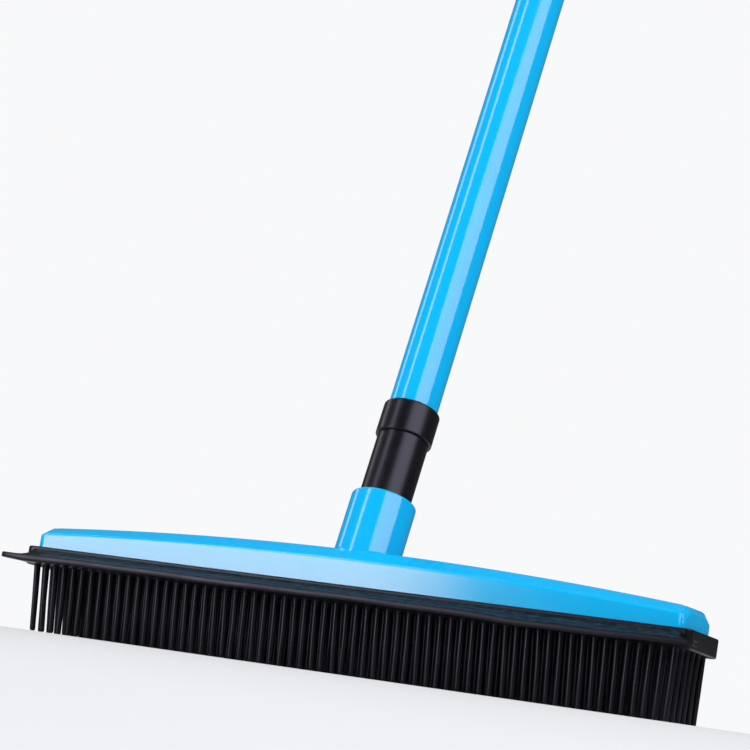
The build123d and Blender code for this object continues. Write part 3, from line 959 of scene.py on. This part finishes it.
@dataclass
class Studio:
    """Pale floor, soft light and the camera."""

    camera_place: tuple[float, float, float] = (0.506644, -1.009233, -0.044950)
    azimuth: float = 26.96219
    elevation: float = -8.827063
    roll: float = 9.380323
    lens: float = 126.70
    floor_level: float = -0.5       # millimetres, just under the bristle tips
    crest_y: float = -13.0
    crest_radius: float = 500.0
    slope: float = 16.0
    ambient: float = 0.30           # strength of the room's light
    mirrored_room: float = 0.10     # and of the room as glossy faces show it
    panels: tuple[Panel, ...] = (
        Panel("key_panel", 64.0, 36.0, 1.7, 1.75, 1.15, 4.4),
        Panel("window_panel", -41.0, 36.0, 1.7, 0.26, 1.15, 5.6),
        Panel("edge_panel", -96.0, 34.0, 1.7, 0.34, 1.1, 2.6),
        Panel("face_panel", -33.0, 6.0, 1.75, 0.62, 0.8, 10.0),
        Panel("soft_sky", 0.0, 88.0, 1.9, 2.2, 2.2, 1.0, False),
    )

    def build(self) -> None:
        """Builds the floor, the lights, the backdrop and the camera."""
        self._floor()
        for panel in self.panels:
            panel.build(Vector((0.0, 0.02, 0.08)))
        self._world()
        self._camera()

    def _floor(self) -> None:
        """Builds the floor: flat under the broom, falling away softly in front."""
        bm = bmesh.new()
        bm.verts.new((-5000.0, 4000.0, self.floor_level))
        bm.verts.new((-5000.0, self.crest_y, self.floor_level))
        bm.verts.ensure_lookup_table()
        bm.edges.new((bm.verts[0], bm.verts[1]))
        steps = 40
        tilt = math.radians(self.slope) / steps
        drawn = bm.verts[1]
        for i in range(steps):
            angle = tilt * (i + 0.5)
            run = 2 * self.crest_radius * math.sin(tilt / 2)
            grown = bmesh.ops.extrude_vert_indiv(bm, verts=[drawn])["verts"][0]
            grown.co += Vector((0, -run * math.cos(angle), -run * math.sin(angle)))
            drawn = grown
        grown = bmesh.ops.extrude_vert_indiv(bm, verts=[drawn])["verts"][0]
        angle = math.radians(self.slope)
        grown.co += Vector((0, -4500.0 * math.cos(angle), -4500.0 * math.sin(angle)))
        swept = bmesh.ops.extrude_edge_only(bm, edges=bm.edges[:])["geom"]
        bmesh.ops.translate(bm, verts=[g for g in swept if isinstance(g, bmesh.types.BMVert)],
                            vec=(10000.0, 0, 0))
        bmesh.ops.recalc_face_normals(bm, faces=bm.faces)
        bmesh.ops.transform(bm, matrix=Matrix.Scale(MM, 4), verts=bm.verts)
        if sum(f.normal.z for f in bm.faces) < 0:
            bmesh.ops.reverse_faces(bm, faces=bm.faces)
        mesh = bpy.data.meshes.new("studio_floor")
        for face in bm.faces:
            face.smooth = True
        bm.to_mesh(mesh)
        bm.free()
        floor = bpy.data.objects.new("studio_floor", mesh)
        bpy.context.scene.collection.objects.link(floor)
        pale = bpy.data.materials.new("pale_floor")
        pale.use_nodes = True
        nodes, links = pale.node_tree.nodes, pale.node_tree.links
        shader = nodes["Principled BSDF"]
        shader.inputs["Roughness"].default_value = 0.7
        place = nodes.new("ShaderNodeTexCoord")
        cloud = nodes.new("ShaderNodeTexNoise")
        cloud.inputs["Scale"].default_value = 3.0
        mix = nodes.new("ShaderNodeMix")
        mix.data_type = "RGBA"
        mix.inputs["A"].default_value = (0.60, 0.60, 0.61, 1.0)
        mix.inputs["B"].default_value = (0.63, 0.63, 0.64, 1.0)
        links.new(place.outputs["Object"], cloud.inputs["Vector"])
        links.new(cloud.outputs["Fac"], mix.inputs["Factor"])
        links.new(mix.outputs["Result"], shader.inputs["Base Color"])
        mesh.materials.append(pale)

    def _world(self) -> None:
        """Sets a pale backdrop and a dimmer ambient light."""
        world = bpy.data.worlds.new("pale_room")
        world.use_nodes = True
        nodes, links = world.node_tree.nodes, world.node_tree.links
        nodes.clear()
        seen = nodes.new("ShaderNodeBackground")
        seen.inputs["Color"].default_value = (0.94, 0.945, 0.955, 1.0)
        room = nodes.new("ShaderNodeBackground")
        room.inputs["Color"].default_value = (0.90, 0.93, 1.0, 1.0)
        path = nodes.new("ShaderNodeLightPath")
        mix = nodes.new("ShaderNodeMixShader")
        sink = nodes.new("ShaderNodeOutputWorld")
        glossy = nodes.new("ShaderNodeMapRange")
        glossy.inputs["To Min"].default_value = self.ambient
        glossy.inputs["To Max"].default_value = self.mirrored_room
        links.new(path.outputs["Is Glossy Ray"], glossy.inputs["Value"])
        links.new(glossy.outputs["Result"], room.inputs["Strength"])
        links.new(path.outputs["Is Camera Ray"], mix.inputs[0])
        links.new(room.outputs["Background"], mix.inputs[1])
        links.new(seen.outputs["Background"], mix.inputs[2])
        links.new(mix.outputs["Shader"], sink.inputs["Surface"])
        bpy.context.scene.world = world

    def _camera(self) -> None:
        """Sets the camera with its small roll."""
        az, el, roll = (math.radians(a) for a in (self.azimuth, self.elevation, self.roll))
        back = Vector((math.sin(az) * math.cos(el), -math.cos(az) * math.cos(el), math.sin(el)))
        right = (-back).cross(Vector((0, 0, 1))).normalized()
        up = right.cross(-back)
        across = right * math.cos(roll) + up * math.sin(roll)
        upward = -right * math.sin(roll) + up * math.cos(roll)
        turn = Matrix((across, upward, back)).transposed().to_4x4()
        data = bpy.data.cameras.new("camera")
        data.lens = self.lens
        data.sensor_width = 36.0
        data.clip_start, data.clip_end = 0.01, 50.0
        camera = bpy.data.objects.new("camera", data)
        camera.matrix_world = Matrix.Translation(self.camera_place) @ turn
        bpy.context.scene.collection.objects.link(camera)
        bpy.context.scene.camera = camera


# ---------------------------------------------------------------- assembly


def work_frames() -> tuple[Matrix, Matrix]:
    """Finds the head's and the handle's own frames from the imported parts.

    Returns:
        The head frame and the handle frame, in metres.
    """
    low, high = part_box("clamp_plate")
    head = Matrix.Translation((0.0, (low.y + high.y) / 2, 0.0))
    joint = next(j for j in frame["joints"] if j["name"] == "handle_turn")
    axis = Vector(joint["axis"]).normalized()
    foot = Vector(joint["pos_m"]) - axis * 20.0 * MM
    side = Vector((1.0, 0.0, 0.0))
    turn = Matrix((side, axis.cross(side), axis)).transposed().to_4x4()
    return head, Matrix.Translation(foot) @ turn


def main() -> None:
    """Builds the broom, its finishes and the studio in order."""
    logging.basicConfig(level=logging.INFO, format="%(name)s %(message)s")
    effects = EffectLibrary()
    materials = {finish.slot: finish.material(effects) for finish in FINISHES}
    head, handle = work_frames()
    shop = Shop(materials, head, handle)
    housing = Housing()
    housing.build(shop)
    Socket().build(shop, housing)
    BrushMoulding().build(shop)
    Bristles().build(shop)
    Stem().build(shop)
    LowerTube().build(shop)
    TwistLock().build(shop)
    Extension().build(shop)
    for node, slot in (("clamp_plate", Slot.GREY_PLASTIC), ("head_screws", Slot.ZINC_STEEL),
                       ("seal_ring", Slot.BLACK_RUBBER), ("cross_pin", Slot.ZINC_STEEL),
                       ("lock_collet", Slot.WHITE_NYLON), ("guide_plug", Slot.WHITE_NYLON),
                       ("end_cap", Slot.BLACK_PLASTIC)):
        shop.dress_node(node, slot)
    Studio().build()
    bpy.context.scene.view_settings.view_transform = "Standard"


if __name__ == "__main__":
    main()
